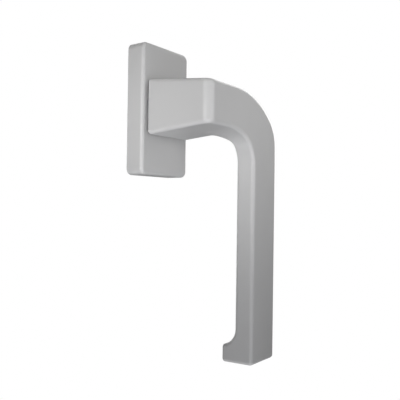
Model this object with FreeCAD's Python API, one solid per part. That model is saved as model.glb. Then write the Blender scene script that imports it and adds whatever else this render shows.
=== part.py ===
import FreeCAD, Part
import math
import os

# Cranked lever handle with a rectangular rose, for a tilt-and-turn window or balcony door.
# Millimetres. X runs to the right as seen from the room, Y into the sash and Z up.
# The origin lies on the spindle's axis, in the face of the sash that the rose stands on.
# A depth is a distance from that face towards the room, so a negative depth lies in the sash.

# Rose
rose_width = 38.3
rose_height = 70.0
rose_depth = 10.8
rose_corner = 3.5
rose_edge = 1.8
cover_wall = 1.5

# Lever's neck, a block that tapers towards the room
neck_gap = 1.2
neck_width = 33.0
neck_rear_height = 29.4
neck_rear_rise = 0.8
neck_front_height = 21.7
neck_front_rise = 0.4
neck_corner = 4.7
neck_flare = 7.5
underside_blend = 11.0

# Lever's flat bar, its two bends and the grip
lever_front = 51.6
bar_depth = 10.8
grip_offset = 38.1
grip_width = 24.4
lever_drop = 137.4
outer_large = 50.0
outer_small = 20.0
outer_turn = 43.5
inner_large = 42.0
inner_small = 16.0
inner_turn = 20.0

# Finger stop at the grip's end, which curls back towards the sash
hook_reach = 7.9
hook_height = 9.6
hook_hollow = 9.5
hook_lip = 1.5
foot_corner = 2.0

# Rounds along the lever's edges
front_round = 2.2
back_round = 1.8
rear_round = 0.8

# Lever's bearing in the base
bush_bore = 20.1
bush_wall = 1.0
bush_reach = 4.0
hub_wall = 1.2
ring_inset = 0.5
ring_edge_inset = 1.2
ring_flat = 1.0
web_thick = 1.5
cover_play = 0.2
turning_play = 0.05
seat_play = 0.1

# Spindle and grub screw
spindle_size = 7.0
spindle_play = 0.04
spindle_out = 34.0
spindle_chamfer = 0.5
socket_floor = 38.0
socket_gap = 0.2
grub_size = 6.0
grub_length = 12.0
grub_depth = 22.0

# Cam with four flats and its two leaf springs
cam_size = 15.0
cam_round = 9.8
front_journal = 6.5
rear_journal = 6.0
spring_thick = 0.7
spring_half = 14.2
spring_play = 0.2
pocket_play = 1.0

# Plate that closes the base from behind, and its screws
plate_thick = 1.2
plate_margin = 1.6
plate_corner = 2.5
small_screw_size = 2.0
small_screw_head = 3.6
small_screw_length = 6.0
small_head_thick = 0.6
small_screw_inset = 2.4

# Screws into the gearbox and the lugs round them
screw_spacing = 43.0
screw_thread = 4.9
screw_head = 9.2
screw_shank = 4.4
screw_plain_length = 15.0
screw_length = 45.0
screw_bore = 5.3
lug_size = 10.0
lug_length = 4.0

# Beads that snap the cover on the base
bead_radius = 0.6
bead_height = 0.35
bead_length = 20.0
bead_depth = 3.6

# Places that follow from the sizes above
neck_rear = rose_depth + neck_gap
neck_length = lever_front - neck_rear
bar_back = lever_front - bar_depth
hook_tip = bar_back - hook_reach
neck_half = neck_width / 2
grip_left = grip_offset - grip_width / 2
grip_right = grip_offset + grip_width / 2
cover_inside = rose_depth - cover_wall
base_front = cover_inside - cover_play
base_width = rose_width - 2 * cover_wall - 2 * cover_play
base_height = rose_height - 2 * cover_wall - 2 * cover_play
base_corner = rose_corner - cover_wall - cover_play
spigot_radius = bush_bore / 2 - turning_play
bush_radius = bush_bore / 2 + bush_wall
hub_bore = bush_radius + turning_play
hub_radius = hub_bore + hub_wall
cover_hole = hub_radius + seat_play
bush_rear = rose_depth - bush_reach
web_front = bush_rear - seat_play
web_rear = web_front - web_thick
cam_front = web_rear - seat_play
cam_rear = plate_thick + seat_play
cam_middle = (cam_front + cam_rear) / 2
pocket_half = cam_round + spring_thick + pocket_play
plate_width = base_width - 2 * plate_margin
plate_height = screw_spacing - lug_size - 2 * plate_margin
small_screw_x = plate_width / 2 - small_screw_inset
small_screw_z = plate_height / 2 - small_screw_inset
screw_z = screw_spacing / 2
spindle_hole = spindle_size + 2 * spindle_play
bead_x = base_width / 2 + cover_play + bead_radius - bead_height

# How far a cutting shape runs past what it cuts
over = 1.0

V = FreeCAD.Vector


def at(x, depth, z):
    return V(x, -depth, z)


def line(first, last):
    return Part.LineSegment(first, last).toShape()


def closed_face(edges):
    return Part.Face(Part.Wire(edges))


def outline(points):
    return Part.Face(Part.makePolygon(points + [points[0]]))


def disc(radius, near, far, x=0, z=0):
    """Round bar along Y between two depths."""
    return Part.makeCylinder(radius, near - far, at(x, near, z), V(0, 1, 0))


def cone(near_radius, far_radius, near, far, x=0, z=0):
    return Part.makeCone(near_radius, far_radius, near - far, at(x, near, z), V(0, 1, 0))


def block(width, height, near, far, x=0, z=0):
    """Square block along Y, centred on x and z."""
    return Part.makeBox(width, near - far, height, at(x - width / 2, near, z - height / 2))


def rounded_block(width, height, corner, near, far):
    shape = block(width, height, near, far)
    upright = [edge for edge in shape.Edges if edge.BoundBox.YLength > (near - far) / 2]
    return shape.makeFillet(corner, upright)


def bow(x, depth, radius, first, last, z):
    """Arc in a level plane, with its two ends."""
    angles = [math.radians(angle) for angle in (first, (first + last) / 2, last)]
    points = [at(x + radius * math.cos(a), depth + radius * math.sin(a), z) for a in angles]
    return Part.Arc(*points).toShape(), points[0], points[2]


# Lever
front_top = neck_front_rise + neck_front_height / 2
front_low = neck_front_rise - neck_front_height / 2
rear_top = neck_rear_rise + neck_rear_height / 2
rear_low = neck_rear_rise - neck_rear_height / 2
top_slope = (rear_top - front_top) / neck_length
low_slope = (rear_low - front_low) / neck_length
below = lever_drop + 60
flare_radius = min(neck_flare, grip_left - neck_half - 1)


def low_at(depth):
    return front_low + low_slope * (lever_front - depth)


def bend_start(right, large, small, turn):
    """Where the straight top goes over in the first arc of a bend that ends on the right."""
    return right - small - (large - small) * math.sin(math.radians(turn))


outer_start = bend_start(grip_right, outer_large, outer_small, outer_turn)
inner_start = bend_start(grip_left, inner_large, inner_small, inner_turn)


def bow_sector(x, z, radius, slope, length, first, turn):
    """Sector of a cone from the lever's front towards the sash, clockwise from an angle seen from the room."""
    centre = at(x, lever_front, z)
    along = V(0, 1, 0)
    sector = Part.makeCone(radius, radius + slope * length, length, centre, along, turn)
    return sector.rotate(centre, along, 90 - first)


def crank(left, start, top, large, small, turn, slope, length):
    """Block whose top goes over in two arcs to its right side, with a slope on both towards the sash."""
    shift = large - small
    angle = math.radians(turn)
    small_x = start + shift * math.sin(angle)
    small_z = top - large + shift * math.cos(angle)
    right = small_x + small
    rear = lever_front - length
    side = [at(left, lever_front, top), at(left, rear, top + slope * length),
            at(left, rear, -below), at(left, lever_front, -below)]
    plan = [at(start, lever_front, small_z), at(right, lever_front, small_z),
            at(right + slope * length, rear, small_z), at(start, rear, small_z)]
    shape = outline(side).extrude(V(start - left, 0, 0))
    shape = shape.fuse(outline(plan).extrude(V(0, 0, -below - small_z)))
    shape = shape.fuse(bow_sector(start, top - large, large, slope, length, 90, turn))
    shape = shape.fuse(bow_sector(small_x, small_z, small, slope, length, 90 - turn, 90 - turn))
    return shape.removeSplitter()


def outer_block():
    return crank(-neck_half, outer_start, front_top, outer_large, outer_small, outer_turn, top_slope, neck_length)


def inner_block(length):
    """What lies below the bar and beside the grip."""
    left = -neck_half - over
    return crank(left, inner_start, front_low, inner_large, inner_small, inner_turn, low_slope, length)


def lever_plan_outline():
    """Upright prism on the plan: neck, rounded corner, bar, and the flare where they join."""
    base = -below - 10
    right = grip_right + 5
    corner, start, corner_end = bow(neck_corner - neck_half, lever_front - neck_corner,
                                    neck_corner, 180, 90, base)
    flare, flare_start, flare_end = bow(neck_half + flare_radius, bar_back - flare_radius,
                                        flare_radius, 90, 180, base)
    rear_left = at(-neck_half, neck_rear, base)
    rear_right = at(neck_half, neck_rear, base)
    front_right = at(right, lever_front, base)
    back_right = at(right, bar_back, base)
    edges = [line(rear_left, start), corner, line(corner_end, front_right)]
    edges += [line(front_right, back_right), line(back_right, flare_start), flare]
    edges += [line(flare_end, rear_right), line(rear_right, rear_left)]
    return closed_face(edges).extrude(V(0, 0, below + 60))


def neck_underside(near, left, right):
    """What the neck's sloping underside takes between two places along X."""
    side = [at(left, near, low_at(near)), at(left, neck_rear, rear_low),
            at(left, neck_rear, -below), at(left, near, -below)]
    return outline(side).extrude(V(right - left, 0, 0))


def underside_patch(x, z, radius, first, last):
    """What lies below a smooth surface from the bend's arc at the bar's back to the neck's flat underside."""
    start = math.radians(first)
    middle = math.radians((first + last) / 2)
    stop = math.radians(last)
    bulge = math.cos(start - middle)
    poles = [(start, radius, 1), (middle, radius / bulge, bulge), (stop, radius, 1)]
    third = underside_blend / 3
    narrowing = 1 + low_slope * third / radius
    flat_end = low_at(bar_back - underside_blend)
    surface = Part.BezierSurface()
    surface.increase(2, 3)
    for column, (angle, reach, weight) in enumerate(poles, 1):
        across = reach * math.cos(angle)
        rise = reach * math.sin(angle)
        rows = [at(x + across, bar_back, z + rise)]
        rows.append(at(x + across * narrowing, bar_back - third, z + rise * narrowing))
        rows.append(at(x + across, bar_back - 2 * third, flat_end - low_slope * third))
        rows.append(at(x + across, bar_back - 3 * third, flat_end))
        for row, pole in enumerate(rows, 1):
            surface.setPole(column, row, pole, weight)
    return surface.toShape().extrude(V(0, 0, -below))


def underside_patches():
    change = low_slope * bar_depth
    shift = inner_large - inner_small
    angle = math.radians(inner_turn)
    large_z = front_low - inner_large
    small_x = inner_start + shift * math.sin(angle)
    small_z = large_z + shift * math.cos(angle)
    square = 90 - inner_turn
    small = inner_small + change
    stop = math.degrees(math.acos((neck_half + flare_radius - small_x) / small))
    return [underside_patch(inner_start, large_z, inner_large + change, 90, square),
            underside_patch(small_x, small_z, small, square, stop)]


def finger_stop():
    """Hollowed return at the grip's end, on the same width as the grip."""
    lip = hook_height - lever_drop
    centre = bar_back - hook_hollow
    turn = math.acos((hook_hollow - hook_reach) / hook_hollow)
    rise = lip + hook_hollow * math.sin(turn)
    middle_depth = centre + hook_hollow * math.cos(turn / 2)
    middle_z = rise - hook_hollow * math.sin(turn / 2)
    root = bar_back + bar_depth / 2
    top = at(0, bar_back, rise)
    end = at(0, hook_tip, lip)
    hollow = Part.Arc(top, at(0, middle_depth, middle_z), end).toShape()
    points = [end, at(0, hook_tip, -lever_drop), at(0, root, -lever_drop), at(0, root, rise), top]
    edges = [hollow] + [line(points[i], points[i + 1]) for i in range(4)]
    shape = closed_face(edges).extrude(V(2 * grip_right, 0, 0))
    lip_edge = [edge for edge in shape.Edges
                if edge.BoundBox.XLength > grip_right and edge.distToShape(Part.Vertex(end))[0] < 0.001]
    shape = shape.makeFillet(hook_lip, lip_edge)
    return shape.common(outer_block()).cut(inner_block(lever_front - hook_tip + over))


def grip_edge(shape, depth):
    """The grip's long right-hand edge at one depth, whose smooth chain runs all round the lever."""
    right = grip_right + top_slope * (lever_front - depth)
    for edge in shape.Edges:
        box = edge.BoundBox
        upright = box.ZLength > lever_drop / 3
        if upright and abs(box.XMin - right) < 0.001 and abs(box.YMin + depth) < 0.001:
            return [edge]


def lever():
    body = outer_block().common(lever_plan_outline())
    cuts = [inner_block(bar_depth), neck_underside(bar_back, -neck_half - over, inner_start)]
    cuts.append(neck_underside(bar_back - underside_blend, inner_start, grip_right + 10))
    for piece in cuts + underside_patches():
        body = body.cut(piece)
    body = body.cut(block(4 * below, below, lever_front + 10, -10, 0, -lever_drop - below / 2))
    body = body.fuse(finger_stop()).removeSplitter().Solids[0]
    floor = [edge for edge in body.Edges if edge.BoundBox.ZMax < 0.001 - lever_drop]
    corners = [edge for edge in floor if edge.BoundBox.XLength < edge.BoundBox.YLength]
    body = body.makeFillet(foot_corner, corners)
    body = body.makeFillet(back_round, grip_edge(body, bar_back))
    body = body.makeFillet(front_round, grip_edge(body, lever_front))
    rear = [edge for edge in body.Edges if edge.BoundBox.YMin > -neck_rear - 0.001]
    body = body.makeFillet(rear_round, rear)
    body = body.fuse(disc(spigot_radius, neck_rear + over, bush_rear))
    body = body.cut(block(spindle_hole, spindle_hole, socket_floor, bush_rear - over))
    radius = grub_size / 2 + turning_play
    return body.cut(Part.makeCylinder(radius, neck_half + over, at(0, grub_depth, 0), V(1, 0, 0)))


def grub_screw():
    """Socket screw that clamps the lever on the spindle, in the side of the neck that faces the grip."""
    return Part.makeCylinder(grub_size / 2, grub_length, at(spindle_size / 2, grub_depth, 0), V(1, 0, 0))


def slide_ring():
    """Flat oval pad of plastic behind the neck, which slides on the rose."""
    width = neck_width - 2 * ring_inset
    height = neck_rear_height - 2 * ring_edge_inset
    corner = (min(width, height) - ring_flat) / 2
    pad = rounded_block(width, height, corner, neck_rear, rose_depth + seat_play)
    pad.translate(V(0, 0, neck_rear_rise))
    return pad.cut(disc(spigot_radius + turning_play, neck_rear + over, 0))


# Spindle and cam
def spindle():
    bar = block(spindle_size, spindle_size, socket_floor - socket_gap, -spindle_out)
    ends = [edge for edge in bar.Edges if edge.BoundBox.YLength < 0.001]
    return bar.makeChamfer(spindle_chamfer, ends)


def detent_cam():
    body = block(cam_size, cam_size, cam_front, cam_rear).common(disc(cam_round, cam_front, cam_rear))
    body = body.fuse(disc(front_journal, web_front + seat_play, cam_middle))
    body = body.fuse(disc(rear_journal, cam_middle, seat_play))
    return body.cut(block(spindle_hole, spindle_hole, rose_depth, -over))


def detent_spring(side):
    """Flat leaf spring that lies on one flat of the cam."""
    middle = side * (cam_size / 2 + turning_play + spring_thick / 2)
    return block(2 * spring_half, spring_thick, cam_front, cam_rear, 0, middle)


# Rose
def rose_cover():
    shell = rounded_block(rose_width, rose_height, rose_corner, rose_depth, 0)
    front = [edge for edge in shell.Edges if edge.BoundBox.YMax < 0.001 - rose_depth]
    shell = shell.makeFillet(rose_edge, front)
    inside = rounded_block(rose_width - 2 * cover_wall, rose_height - 2 * cover_wall,
                           rose_corner - cover_wall, cover_inside, -over)
    shell = shell.cut(inside).cut(disc(cover_hole, rose_depth + over, 0))
    for side in (-1, 1):
        start = at(side * bead_x, bead_depth, -bead_length / 2)
        shell = shell.fuse(Part.makeCylinder(bead_radius, bead_length, start))
    return shell


def bead_grooves():
    length = bead_length + 2 * cover_play
    radius = bead_radius + cover_play
    starts = [at(side * bead_x, bead_depth, -length / 2) for side in (-1, 1)]
    return [Part.makeCylinder(radius, length, start) for start in starts]


def cam_chamber():
    """Square pocket for the cam, with slots on both sides for the ends of the springs."""
    cutters = [block(2 * pocket_half, 2 * pocket_half, web_rear, -over)]
    for side in (-1, 1):
        middle = side * (cam_size / 2 + turning_play + spring_thick / 2)
        slot = block(2 * (spring_half + spring_play), spring_thick + seat_play, web_rear, -over, 0, middle)
        cutters.append(slot)
    return cutters


def screw_holes(side):
    """Bore and countersink for one of the two screws into the gearbox."""
    z = side * screw_z
    head = screw_head / 2 + turning_play
    bore = screw_bore / 2
    sink = cone(head, bore, base_front, base_front - head + bore, 0, z)
    return [sink, disc(bore, base_front, -lug_length - over, 0, z)]


def small_screw_places():
    return [(side * small_screw_x, -side * small_screw_z) for side in (-1, 1)]


def base_housing():
    body = rounded_block(base_width, base_height, base_corner, base_front, 0)
    body = body.fuse(disc(hub_radius, rose_depth, base_front - over))
    body = body.cut(rounded_block(plate_width, plate_height, plate_corner, plate_thick, -over))
    for side in (-1, 1):
        body = body.fuse(disc(lug_size / 2, over, -lug_length, 0, side * screw_z))
    cutters = [disc(hub_bore, rose_depth + over, web_front)]
    cutters.append(disc(front_journal + turning_play, rose_depth, 0))
    cutters += cam_chamber() + bead_grooves() + screw_holes(-1) + screw_holes(1)
    for x, z in small_screw_places():
        cutters.append(disc(small_screw_size / 2 + turning_play, small_screw_length + over, 0, x, z))
    for cutter in cutters:
        body = body.cut(cutter)
    return body


def bearing_bush():
    """Plastic bush in the hub, for the lever's spigot."""
    return disc(bush_radius, rose_depth, bush_rear).cut(disc(bush_bore / 2, rose_depth + over, 0))


def back_plate():
    inset = 2 * seat_play
    plate = rounded_block(plate_width - inset, plate_height - inset, plate_corner, plate_thick, 0)
    holes = [disc(rear_journal + turning_play, plate_thick + over, -over)]
    for x, z in small_screw_places():
        holes.append(disc(small_screw_size / 2 + turning_play, plate_thick + over, 0, x, z))
        holes.append(disc(small_screw_head / 2 + seat_play, small_head_thick, -over, x, z))
    for hole in holes:
        plate = plate.cut(hole)
    return plate


def back_plate_screws():
    screws = []
    for x, z in small_screw_places():
        head = disc(small_screw_head / 2, small_head_thick, 0, x, z)
        screws.append(head.fuse(disc(small_screw_size / 2, small_screw_length, 0, x, z)))
    return Part.makeCompound(screws)


def fixing_screws():
    """Two countersunk screws that pass the lugs and go on into the gearbox."""
    head = screw_head / 2
    shank = screw_shank / 2
    neck = base_front - screw_plain_length
    screws = []
    for side in (-1, 1):
        z = side * screw_z
        screw = cone(head, shank, base_front, base_front - head + shank, 0, z)
        screw = screw.fuse(disc(shank, base_front - over, neck, 0, z))
        screws.append(screw.fuse(disc(screw_thread / 2, neck, base_front - screw_length, 0, z)))
    return Part.makeCompound(screws)


pieces = {
    "lever": lever(),
    "grub_screw": grub_screw(),
    "slide_ring": slide_ring(),
    "spindle": spindle(),
    "detent_cam": detent_cam(),
    "detent_spring_upper": detent_spring(1),
    "detent_spring_lower": detent_spring(-1),
    "rose_cover": rose_cover(),
    "base_housing": base_housing(),
    "bearing_bush": bearing_bush(),
    "back_plate": back_plate(),
    "back_plate_screws": back_plate_screws(),
    "fixing_screws": fixing_screws(),
}
os.makedirs("parts", exist_ok=True)
for name, shape in pieces.items():
    shape.exportStep("parts/" + name + ".step")
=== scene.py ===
import bpy
import math
from mathutils import Matrix, Vector


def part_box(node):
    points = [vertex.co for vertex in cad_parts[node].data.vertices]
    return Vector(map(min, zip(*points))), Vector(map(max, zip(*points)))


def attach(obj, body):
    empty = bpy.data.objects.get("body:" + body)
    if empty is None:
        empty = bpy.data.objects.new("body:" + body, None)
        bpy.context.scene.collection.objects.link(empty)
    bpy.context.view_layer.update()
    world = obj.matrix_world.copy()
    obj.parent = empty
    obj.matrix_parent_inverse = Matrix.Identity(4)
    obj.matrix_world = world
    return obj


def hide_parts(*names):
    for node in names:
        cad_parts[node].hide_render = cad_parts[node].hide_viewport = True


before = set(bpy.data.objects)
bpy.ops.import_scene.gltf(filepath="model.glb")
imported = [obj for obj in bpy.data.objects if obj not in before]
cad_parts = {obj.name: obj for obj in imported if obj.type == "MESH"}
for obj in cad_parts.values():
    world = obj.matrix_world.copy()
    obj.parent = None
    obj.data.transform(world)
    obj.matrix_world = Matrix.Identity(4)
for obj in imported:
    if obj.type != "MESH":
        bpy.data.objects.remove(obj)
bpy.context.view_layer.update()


# Base housing: dark glass-filled plastic, moulded, with two lugs for the sash and a hub for the bush.
# Its grain is the fine matt one of an eroded mould. It carries everything that stays still.
def add_node(tree, kind, values=None, **settings):
    """A shader node with its settings and the values of its own sockets."""
    node = tree.nodes.new("ShaderNode" + kind)
    for key, value in settings.items():
        setattr(node, key, value)
    for socket, value in (values or {}).items():
        node.inputs[socket].default_value = value
    return node


def make_grain_group():
    """Fine grain and broad clouds, which give the colour, the sheen and the height of a surface."""
    tree = bpy.data.node_groups.new("surface_grain", "ShaderNodeTree")
    for name, kind, value in (("Scale", "Float", 2500.0), ("Cloud Scale", "Float", 60.0),
                              ("Stretch", "Vector", (1, 1, 1)),
                              ("Light", "Color", (1, 1, 1, 1)), ("Dark", "Color", (0, 0, 0, 1)),
                              ("Smooth", "Float", 0.4), ("Rough", "Float", 0.5)):
        socket = tree.interface.new_socket(name, in_out="INPUT", socket_type="NodeSocket" + kind)
        socket.default_value = value
    for name, kind in (("Color", "Color"), ("Roughness", "Float"), ("Height", "Float")):
        tree.interface.new_socket(name, in_out="OUTPUT", socket_type="NodeSocket" + kind)
    start = tree.nodes.new("NodeGroupInput")
    end = tree.nodes.new("NodeGroupOutput")
    place = add_node(tree, "TexCoord")
    drawn = add_node(tree, "VectorMath", operation="MULTIPLY")
    fine = add_node(tree, "TexNoise", {"Detail": 3.0, "Roughness": 0.6})
    cloud = add_node(tree, "TexNoise", {"Detail": 4.0, "Roughness": 0.55})
    both = add_node(tree, "Mix", {"Factor": 0.35}, data_type="FLOAT")
    colour = add_node(tree, "Mix", data_type="RGBA")
    sheen = add_node(tree, "MapRange")
    link = tree.links.new
    link(place.outputs["Object"], drawn.inputs[0])
    link(start.outputs["Stretch"], drawn.inputs[1])
    for noise, scale in ((fine, "Scale"), (cloud, "Cloud Scale")):
        link(drawn.outputs["Vector"], noise.inputs["Vector"])
        link(start.outputs[scale], noise.inputs["Scale"])
    link(cloud.outputs["Fac"], both.inputs[2])
    link(fine.outputs["Fac"], both.inputs[3])
    link(both.outputs[0], colour.inputs["Factor"])
    link(start.outputs["Light"], colour.inputs[6])
    link(start.outputs["Dark"], colour.inputs[7])
    link(both.outputs[0], sheen.inputs["Value"])
    link(start.outputs["Smooth"], sheen.inputs["To Min"])
    link(start.outputs["Rough"], sheen.inputs["To Max"])
    link(colour.outputs[2], end.inputs["Color"])
    link(sheen.outputs["Result"], end.inputs["Roughness"])
    link(fine.outputs["Fac"], end.inputs["Height"])
    return tree


grain_group = make_grain_group()


def grained(name, light, dark, rough, relief, scale=2500.0, cloud=60.0, stretch=(1, 1, 1),
            metal=0.0, coat=0.0):
    """Material whose colour, sheen and fine relief follow the shared grain."""
    material = bpy.data.materials.new(name)
    material.use_nodes = True
    tree = material.node_tree
    shader = tree.nodes["Principled BSDF"]
    shader.inputs["Metallic"].default_value = metal
    shader.inputs["Coat Weight"].default_value = coat
    shader.inputs["Coat Roughness"].default_value = 0.15
    grain = add_node(tree, "Group", node_tree=grain_group)
    grain.inputs["Scale"].default_value = scale
    grain.inputs["Cloud Scale"].default_value = cloud
    grain.inputs["Stretch"].default_value = stretch
    grain.inputs["Light"].default_value = (*light, 1)
    grain.inputs["Dark"].default_value = (*dark, 1)
    grain.inputs["Smooth"].default_value = rough[0]
    grain.inputs["Rough"].default_value = rough[1]
    bump = add_node(tree, "Bump", {"Strength": 0.5, "Distance": relief})
    tree.links.new(grain.outputs["Color"], shader.inputs["Base Color"])
    tree.links.new(grain.outputs["Roughness"], shader.inputs["Roughness"])
    tree.links.new(grain.outputs["Height"], bump.inputs["Height"])
    tree.links.new(bump.outputs["Normal"], shader.inputs["Normal"])
    return material


def dress(name, material):
    """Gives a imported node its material."""
    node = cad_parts[name]
    node.data.materials.clear()
    node.data.materials.append(material)


dress("base_housing", grained("base_plastic", (0.13, 0.13, 0.135), (0.085, 0.085, 0.09),
                              (0.5, 0.72), 0.00003))


# Bearing bush: a ring of grey acetal pressed in the base's hub, in which the lever's spigot turns.
# Acetal is a little waxy, so it is smoother than the base.
slippery = grained("bush_plastic", (0.16, 0.16, 0.165), (0.11, 0.11, 0.115), (0.3, 0.42), 0.00001)
dress("bearing_bush", slippery)


# Detent springs: two flat strips of hardened spring steel, which lie on the cam's flats.
# They are blued by the hardening, with the rolling's fine streaks along X.
blued = grained("blued_steel", (0.16, 0.17, 0.2), (0.08, 0.085, 0.1), (0.28, 0.45), 0.00001,
                1800.0, 90.0, (0.08, 1, 1), metal=1.0)
dress("detent_spring_upper", blued)
dress("detent_spring_lower", blued)


# Detent cam: square follower of sintered steel on the spindle, with the pores that the powder leaves.
# The springs snap on its four flats, which holds the handle at each quarter turn.
dress("detent_cam", grained("sintered_steel", (0.34, 0.34, 0.35), (0.17, 0.17, 0.18), (0.4, 0.65), 0.00004,
                            1500.0, 140.0, metal=1.0))


# Back plate: zinc-plated sheet steel that closes the base from behind between the two lugs.
# The sheet's rolling shows as faint streaks along Z under the plating.
dress("back_plate", grained("plated_sheet", (0.66, 0.67, 0.69), (0.46, 0.47, 0.51), (0.24, 0.44), 0.00001,
                            1600.0, 110.0, (1, 1, 0.06), metal=1.0))


# Back plate's screws: two small flat-headed thread-forming screws of zinc-plated steel, 2 mm thick.
# Each is turned from its profile, with a rolled thread and a cross recess in the head.
def start_edit():
    """Selects all of the active mesh in edit mode."""
    bpy.ops.object.mode_set(mode="EDIT")
    bpy.ops.mesh.select_all(action="SELECT")


def thread_profile(profile, first, last, pitch, parts=6):
    """Adds rings between two places of a profile, a few to each turn of the thread."""
    count = round((last - first) / pitch * parts)
    root = [(first + (last - first) * k / count, None) for k in range(count + 1)]
    before = [ring for ring in profile if ring[0] < first or ring[0] == first and ring[1] == 0]
    after = [ring for ring in profile if ring[0] >= last]
    return before + root + after


def turn_screw(name, start, axis, profile, crest, first, last, pitch, steps=28):
    """Skin turned round an axis from rings of (place along it, radius), in millimetres, with a thread."""
    rings = thread_profile(profile, first, last, pitch)
    side = Vector((0, 0, 1))
    across = axis.cross(side)
    groove_depth = 0.6 * pitch
    groove_shape = 0.7
    bpy.ops.object.select_all(action="DESELECT")
    bpy.ops.mesh.primitive_grid_add(x_subdivisions=steps, y_subdivisions=len(rings) - 1, size=1)
    screw = bpy.context.object
    screw.name = name
    for vertex in screw.data.vertices:
        angle = 2 * math.pi * (vertex.co.x + 0.5)
        along, radius = rings[round((vertex.co.y + 0.5) * (len(rings) - 1))]
        if radius is None:
            turn = (along / pitch - angle / (2 * math.pi)) % 1
            fade = min(1, (along - first) / pitch, (last - along) / pitch)
            groove = max(0, 1 - abs(4 * turn - 2)) ** groove_shape
            radius = crest - groove_depth * groove * max(0, fade)
        out = math.cos(angle) * side + math.sin(angle) * across
        vertex.co = Vector(start) + (axis * along + out * radius) / 1000
    start_edit()
    bpy.ops.mesh.remove_doubles(threshold=1e-6)
    bpy.ops.mesh.normals_make_consistent(inside=False)
    bpy.ops.object.mode_set(mode="OBJECT")
    return screw


def cut_from(piece, cutter):
    """Takes the cutter's space out of a piece."""
    boolean = piece.modifiers.new("recess", "BOOLEAN")
    boolean.operation = "DIFFERENCE"
    boolean.solver = "EXACT"
    boolean.object = cutter
    bpy.ops.object.select_all(action="DESELECT")
    bpy.context.view_layer.objects.active = piece
    bpy.ops.object.modifier_apply(modifier="recess")
    bpy.data.objects.remove(cutter)


def cross_recess(piece, start, axis, reach, blade, depth):
    """Cuts two crossed blades, which taper towards their foot, into a head, in millimetres."""
    side = Vector((0, 0, 1))
    across = axis.cross(side)
    taper = 0.35
    above_head = 0.3
    for long_way, short_way in ((side, across), (across, side)):
        bpy.ops.object.select_all(action="DESELECT")
        bpy.ops.mesh.primitive_cube_add(size=2)
        cutter = bpy.context.object
        for vertex in cutter.data.vertices:
            foot = vertex.co.z > 0
            half_length = vertex.co.x * reach * (taper if foot else 1.0)
            half_width = vertex.co.y * blade / 2
            sink = depth if foot else -above_head
            place = axis * sink + long_way * half_length + short_way * half_width
            vertex.co = Vector(start) + place / 1000
        start_edit()
        bpy.ops.mesh.normals_make_consistent(inside=False)
        bpy.ops.object.mode_set(mode="OBJECT")
        cut_from(piece, cutter)


def join_copies(piece, places):
    """Puts a copy of a piece, with its own mesh, at each place, and makes one object of them."""
    name = piece.name
    copies = []
    for place in places:
        copy = piece.copy()
        copy.data = piece.data.copy()
        copy.data.transform(Matrix.Translation(Vector(place)))
        bpy.context.collection.objects.link(copy)
        copies.append(copy)
    bpy.data.objects.remove(piece)
    bpy.ops.object.select_all(action="DESELECT")
    for copy in copies:
        copy.select_set(True)
    bpy.context.view_layer.objects.active = copies[0]
    if len(copies) > 1:
        bpy.ops.object.join()
    bpy.ops.object.shade_smooth_by_angle(angle=math.radians(35))
    bpy.context.object.name = name
    return bpy.context.object


def hand_in(piece, material, body, node):
    """Gives a finished piece its material and its place in the frame."""
    piece.data.materials.clear()
    piece.data.materials.append(material)
    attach(piece, body)
    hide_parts(node)


bright_zinc = grained("bright_zinc", (0.68, 0.69, 0.72), (0.42, 0.43, 0.48), (0.2, 0.4), 0.00001,
                      2200.0, 160.0, metal=1.0)
small_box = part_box("back_plate_screws")
small_head = 1.8
small_x = 1000 * small_box[1][0] - small_head
small_z = 1000 * small_box[1][2] - small_head
small_screw = turn_screw("back_plate_screws_threaded", (0, 0, 0), Vector((0, -1, 0)),
                         [(0, 0), (0, 1.65), (0.12, small_head), (0.6, small_head), (0.6, 1.0),
                          (5.6, 0.95), (6.0, 0.55), (6.0, 0)],
                         1.0, 0.7, 5.5, 0.4, 20)
cross_recess(small_screw, (0, 0, 0), Vector((0, -1, 0)), 1.0, 0.42, 0.5)
small_places = [(side * small_x / 1000, 0, -side * small_z / 1000) for side in (-1, 1)]
hand_in(join_copies(small_screw, small_places), bright_zinc, "rose", "back_plate_screws")


# Fixing screws: two M5 countersunk machine screws of zinc-plated steel, 45 mm long.
# They pass the base and its lugs and go on into the window's gearbox, hidden from the room by the cover.
head_face = 1000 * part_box("fixing_screws")[0][1]
half_spacing = 0.0215
fixing_screw = turn_screw("fixing_screws_threaded", (0, head_face / 1000, 0), Vector((0, 1, 0)),
                          [(0, 0), (0, 4.4), (0.2, 4.6), (2.4, 2.2), (14.8, 2.2),
                           (44.6, 1.9), (45.0, 1.5), (45.0, 0)],
                          2.45, 15.0, 44.4, 0.8)
cross_recess(fixing_screw, (0, head_face / 1000, 0), Vector((0, 1, 0)), 2.3, 0.9, 2.0)
fixing_places = [(0, 0, half_spacing), (0, 0, -half_spacing)]
hand_in(join_copies(fixing_screw, fixing_places), bright_zinc, "rose", "fixing_screws")


# Rose cover: a cap of cast aluminium in a light grey, satin powder coat, snapped on the base by two beads.
# The coat has a faint orange peel and is a little uneven in sheen. The lever has the same coat.
paint = grained("light_grey_paint", (0.502, 0.5, 0.499), (0.462, 0.46, 0.459),
                (0.36, 0.48), 0.00002, coat=0.3)
dress("rose_cover", paint)


# Slide ring: a flat oval pad of the bush's plastic behind the lever's neck, which glides on the cover.
# Its dark grey is partly painted shade: it shows as the dark line between the neck and the rose and stands
# in for the shade deep in the gap there.
dress("slide_ring", slippery)


# Lever: one aluminium casting, ground smooth before it was coated like the cover.
# Its neck tapers towards the room, and the grip ends in a hollowed finger stop.
dress("lever", paint)


# Spindle: a bar of cold-drawn 7 mm square steel, zinc-plated, with the drawing's fine lines along it.
# It sits in the lever's neck and turns the cam and the gearbox.
dress("spindle", grained("drawn_zinc", (0.64, 0.65, 0.68), (0.44, 0.45, 0.5), (0.22, 0.42), 0.00001,
                         2200.0, 120.0, (1, 0.04, 1), metal=1.0))


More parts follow.
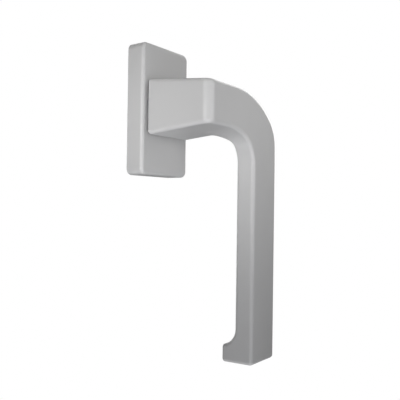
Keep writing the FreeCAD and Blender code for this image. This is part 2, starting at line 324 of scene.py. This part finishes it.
# Grub screw: an M6 socket screw of blackened steel in the neck's side that faces the grip.
# It clamps the spindle, and has a hexagon socket at its outer end and a cupped point.
black_steel = grained("black_steel", (0.07, 0.07, 0.075), (0.03, 0.03, 0.034),
                      (0.32, 0.52), 0.00001, metal=1.0)
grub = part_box("grub_screw")
grub_middle = (grub[0][1] + grub[1][1]) / 2
grub_face = (grub[1][0], grub_middle, 0)
grub_screw = turn_screw("grub_screw_threaded", grub_face, Vector((-1, 0, 0)),
                        [(0, 0), (0, 2.5), (11.5, 2.4), (12.0, 1.9), (12.0, 1.5), (11.45, 0)],
                        3.0, 0.4, 11.4, 1.0)
hexagon_radius = 0.001732
hexagon_depth = 0.004
bpy.ops.object.select_all(action="DESELECT")
bpy.ops.mesh.primitive_cylinder_add(vertices=6, radius=hexagon_radius, depth=2 * hexagon_depth,
                                    rotation=(0, math.pi / 2, 0))
hexagon = bpy.context.object
bpy.ops.object.transform_apply(location=False, rotation=True, scale=False)
hexagon.data.transform(Matrix.Translation(Vector(grub_face)))
cut_from(grub_screw, hexagon)
hand_in(join_copies(grub_screw, [(0, 0, 0)]), black_steel, "lever", "grub_screw")


# Backdrop: a plain pale sheet that stands where the sash would be and bends forward into the floor.
# Only the camera sees it, and only from the room's side, so it hides no light and no rear view.
def backdrop_material():
    """White for the camera in front of the sheet, and clear to all else."""
    material = bpy.data.materials.new("backdrop")
    material.use_nodes = True
    tree = material.node_tree
    end = tree.nodes["Material Output"]
    tree.nodes.remove(tree.nodes["Principled BSDF"])
    side = add_node(tree, "NewGeometry")
    ray = add_node(tree, "LightPath")
    front = add_node(tree, "Math", {0: 1.0}, operation="SUBTRACT")
    seen = add_node(tree, "Math", operation="MULTIPLY")
    white = add_node(tree, "Emission", {"Color": (1, 1, 1, 1), "Strength": 1.0})
    clear = add_node(tree, "BsdfTransparent")
    both = add_node(tree, "MixShader")
    link = tree.links.new
    link(side.outputs["Backfacing"], front.inputs[1])
    link(front.outputs[0], seen.inputs[0])
    link(ray.outputs["Is Camera Ray"], seen.inputs[1])
    link(seen.outputs[0], both.inputs[0])
    link(clear.outputs[0], both.inputs[1])
    link(white.outputs[0], both.inputs[2])
    link(both.outputs[0], end.inputs[0])
    return material


def lay_backdrop(left=-0.9, right=1.1, top=0.6, floor=-0.30, front=-1.0, wall=0.0002, bend=0.12):
    """Grid whose rows are laid down the wall, round the bend and out over the floor."""
    straight = top - floor - bend
    curved = bend * math.pi / 2
    length = straight + curved + (wall - bend - front)
    bpy.ops.object.select_all(action="DESELECT")
    bpy.ops.mesh.primitive_grid_add(x_subdivisions=1, y_subdivisions=80, size=1)
    sheet = bpy.context.object
    for vertex in sheet.data.vertices:
        along = (vertex.co.y + 0.5) * length
        angle = min(max((along - straight) / bend, 0), math.pi / 2)
        past = max(along - straight - curved, 0)
        depth = wall - bend * (1 - math.cos(angle)) - past
        height = top - min(along, straight) - bend * math.sin(angle)
        vertex.co = (left + (vertex.co.x + 0.5) * (right - left), depth, height)
    sheet.name = "backdrop"
    sheet.data.flip_normals()
    sheet.data.materials.append(backdrop_material())


lay_backdrop()


# Camera at the photograph's viewing angle, on the left of the handle and level with its grip.
# Its place, angles and lens were fitted to the photograph's outlines.
def aim_camera():
    """Camera at its place, turned by its angles, with the focal length in pixels."""
    place = Vector((-0.2410, -0.2100, -0.0516))
    yaw, pitch, roll = 0.9415, 0.0123, 0.014
    focal = 571.0
    image_width = 400
    sensor_width = 36
    forward = Vector((math.sin(yaw) * math.cos(pitch), math.cos(yaw) * math.cos(pitch), math.sin(pitch)))
    right = Vector((math.cos(yaw), -math.sin(yaw), 0))
    up = right.cross(forward)
    across = math.cos(roll) * right + math.sin(roll) * up
    upward = math.cos(roll) * up - math.sin(roll) * right
    lens = bpy.data.cameras.new("photo_camera")
    lens.sensor_width = sensor_width
    lens.lens = focal / image_width * sensor_width
    lens.clip_start = 0.01
    camera = bpy.data.objects.new("photo_camera", lens)
    bpy.context.collection.objects.link(camera)
    columns = Matrix((across, upward, -forward)).transposed().to_4x4()
    camera.matrix_world = Matrix.Translation(place) @ columns
    bpy.context.scene.camera = camera


aim_camera()


# Light: soft lamps near the handle in an even pale surrounding.
# The near ones let the light fall off down the grip, as it does in the photograph.
def add_lamp(name, place, target, size, power, spread=180, colour=(1, 1, 1)):
    """Round soft lamp that faces its target, unseen by the camera."""
    lamp = bpy.data.lights.new(name, "AREA")
    lamp.shape = "DISK"
    lamp.size = size
    lamp.energy = power
    lamp.color = colour
    lamp.spread = math.radians(spread)
    item = bpy.data.objects.new(name, lamp)
    item.location = place
    item.rotation_euler = (Vector(target) - Vector(place)).to_track_quat("-Z", "Y").to_euler()
    item.visible_camera = False
    bpy.context.collection.objects.link(item)


handle = (0.01, -0.03, -0.01)
add_lamp("top_lamp", (0, -0.08, 0.30), handle, 0.42, 0.20)
add_lamp("high_lamp", (0, -0.26, 0.20), handle, 0.24, 0.050)
add_lamp("floor_lamp", (-0.06, -0.09, -0.25), handle, 0.36, 0.198)
add_lamp("front_lamp", (0, -0.17, 0.06), (0, -0.02, 0), 0.13, 0.028)
add_lamp("bar_lamp", (0.04, -0.22, 0), (0.035, -0.05, -0.01), 0.14, 0.0150, 62)
add_lamp("corner_lamp", (-0.13, -0.14, -0.03), (-0.01, -0.02, 0.01), 0.17, 0.0165, 74)
add_lamp("rose_lamp", (-0.18, -0.03, -0.01), (-0.02, -0.012, -0.003), 0.14, 0.037, 60)
add_lamp("under_lamp", (-0.06, -0.09, -0.13), (0, -0.02, 0), 0.20, 0.041, 110, (0.92, 0.94, 1))
add_lamp("right_lamp", (0.42, 0, 0.16), (0.03, 0, -0.04), 0.36, 0.85)
add_lamp("rear_lamp", (0.12, 0.45, 0), (0.02, 0, -0.03), 0.40, 0.6)


# Surrounding: plain white to the camera, and a softer white as light on the handle.
# The plain view transform keeps the sheet white and the greys as they are lit.
def make_surrounding(light):
    """World that the camera sees as white, and that lights the handle more weakly."""
    world = bpy.data.worlds.new("studio")
    world.use_nodes = True
    tree = world.node_tree
    ray = add_node(tree, "LightPath")
    strength = add_node(tree, "MapRange", {"To Min": light, "To Max": 1.0})
    tree.links.new(ray.outputs["Is Camera Ray"], strength.inputs["Value"])
    tree.links.new(strength.outputs["Result"], tree.nodes["Background"].inputs["Strength"])
    tree.nodes["Background"].inputs["Color"].default_value = (1, 1, 1, 1)
    bpy.context.scene.world = world


make_surrounding(0.165)
bpy.context.scene.view_settings.view_transform = "Standard"
